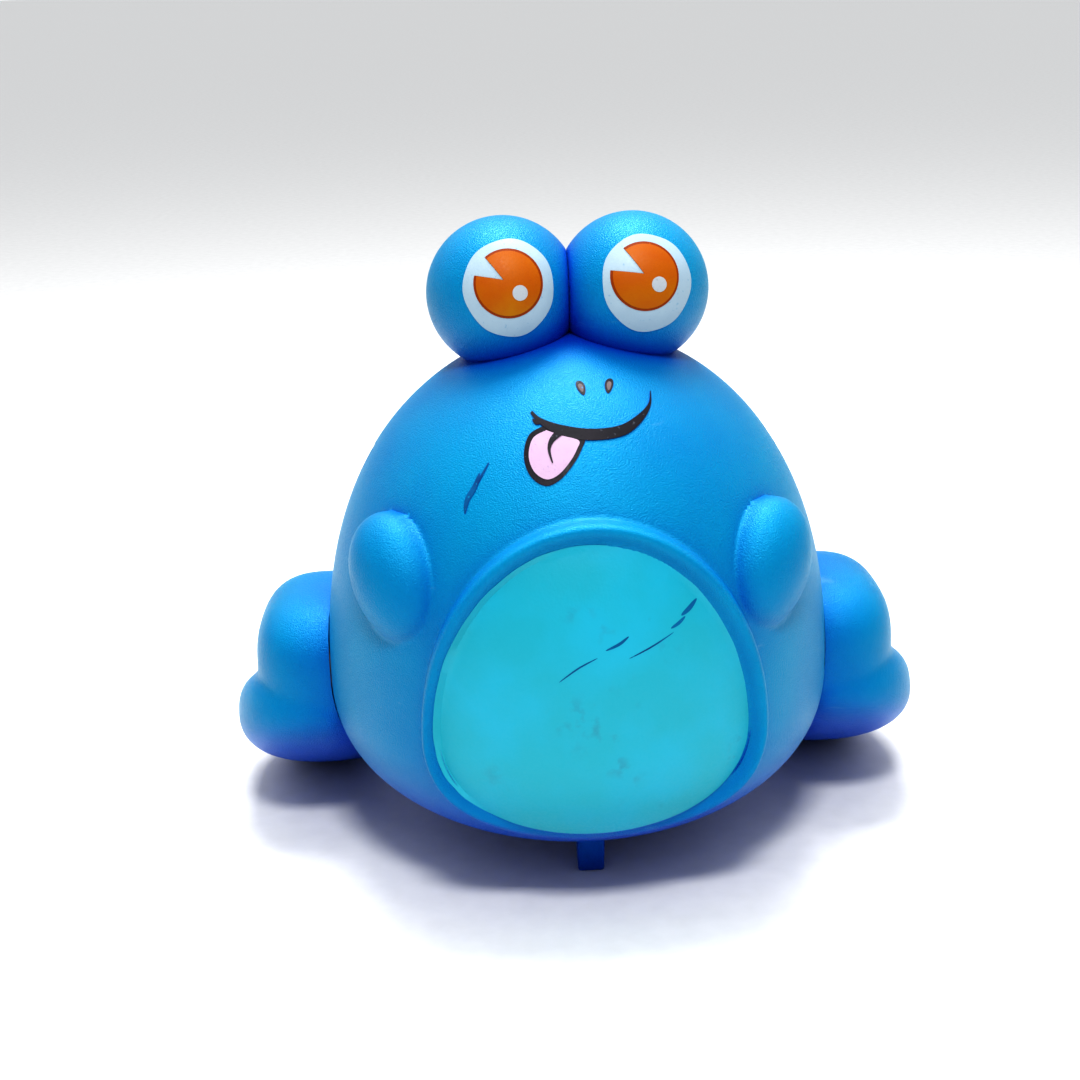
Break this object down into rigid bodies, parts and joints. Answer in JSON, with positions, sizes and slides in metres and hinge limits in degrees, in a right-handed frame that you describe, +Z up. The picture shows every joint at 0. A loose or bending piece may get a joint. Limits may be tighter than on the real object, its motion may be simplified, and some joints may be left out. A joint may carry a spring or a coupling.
{
  "type": "wind-up jumping frog",
  "caption": "Small moulded plastic clockwork frog: egg-shaped body, ball eyes, kicking side legs and a winding knob at the back.",
  "frame": {"origin": "on the floor under the middle of the frog's box, with the front peg and both heels at Z = 0", "axes": "+Z up, -Y the way the frog faces, X along the leg shaft and across the plane of symmetry"},
  "size_m": [0.059, 0.0438, 0.0518],
  "materials": {
    "blue_plastic": "satin, fine spark-eroded texture",
    "white_plastic": "satin",
    "steel": "plain",
    "brass": "plain",
    "spring_steel": "tempered"
  },
  "bodies": {
    "body": {"front_shell": "blue_plastic", "rear_shell": "blue_plastic", "left_eye": "blue_plastic", "right_eye": "blue_plastic", "case_screw_1": "steel", "case_screw_2": "steel", "case_screw_3": "steel", "left_bush": "brass", "right_bush": "brass", "return_spring": "spring_steel", "motor_front_plate": "steel", "motor_rear_plate": "steel", "motor_pillar_1": "steel", "motor_pillar_2": "steel", "motor_pillar_3": "steel", "motor_pillar_4": "steel", "mainspring": "spring_steel"},
    "legs": {"left_leg": "blue_plastic", "right_leg": "blue_plastic", "leg_shaft": "steel", "leg_lever": "white_plastic"},
    "winding_set": {"winding_knob": "white_plastic", "winding_arbor": "steel", "ratchet_wheel": "steel"},
    "great_wheel_set": {"great_wheel": "brass", "click": "steel", "click_rivet": "steel"},
    "second_wheel_set": {"second_arbor": "steel", "second_wheel": "white_plastic"},
    "kick_cam_set": {"kick_arbor": "steel", "kick_cam": "white_plastic"}
  },
  "joints": [
    {"name": "leg_kick", "type": "hinge", "parent": "body", "child": "legs", "pos_m": [0, -0.00243, 0.015], "axis": [-1, 0, 0], "range_deg": [0, 26], "stiffness_Nm_per_rad": 0.0015, "springref_deg": -22.92},
    {"name": "knob_turn", "type": "hinge", "parent": "body", "child": "winding_set", "pos_m": [0, 0, 0.0285], "axis": [0, 1, 0], "continuous": true},
    {"name": "great_wheel_spin", "type": "hinge", "parent": "body", "child": "great_wheel_set", "pos_m": [0, 0, 0.0285], "axis": [0, 1, 0], "continuous": true},
    {"name": "second_wheel_spin", "type": "hinge", "parent": "body", "child": "second_wheel_set", "pos_m": [-0.00596, 0, 0.02335], "axis": [0, 1, 0], "continuous": true},
    {"name": "kick_cam_spin", "type": "hinge", "parent": "body", "child": "kick_cam_set", "pos_m": [0, 0, 0.0204], "axis": [0, 1, 0], "continuous": true}
  ],
  "couplings": [
    {"joint": "second_wheel_spin", "follows": "great_wheel_spin", "ratio": -4},
    {"joint": "kick_cam_spin", "follows": "great_wheel_spin", "ratio": 15}
  ]
}
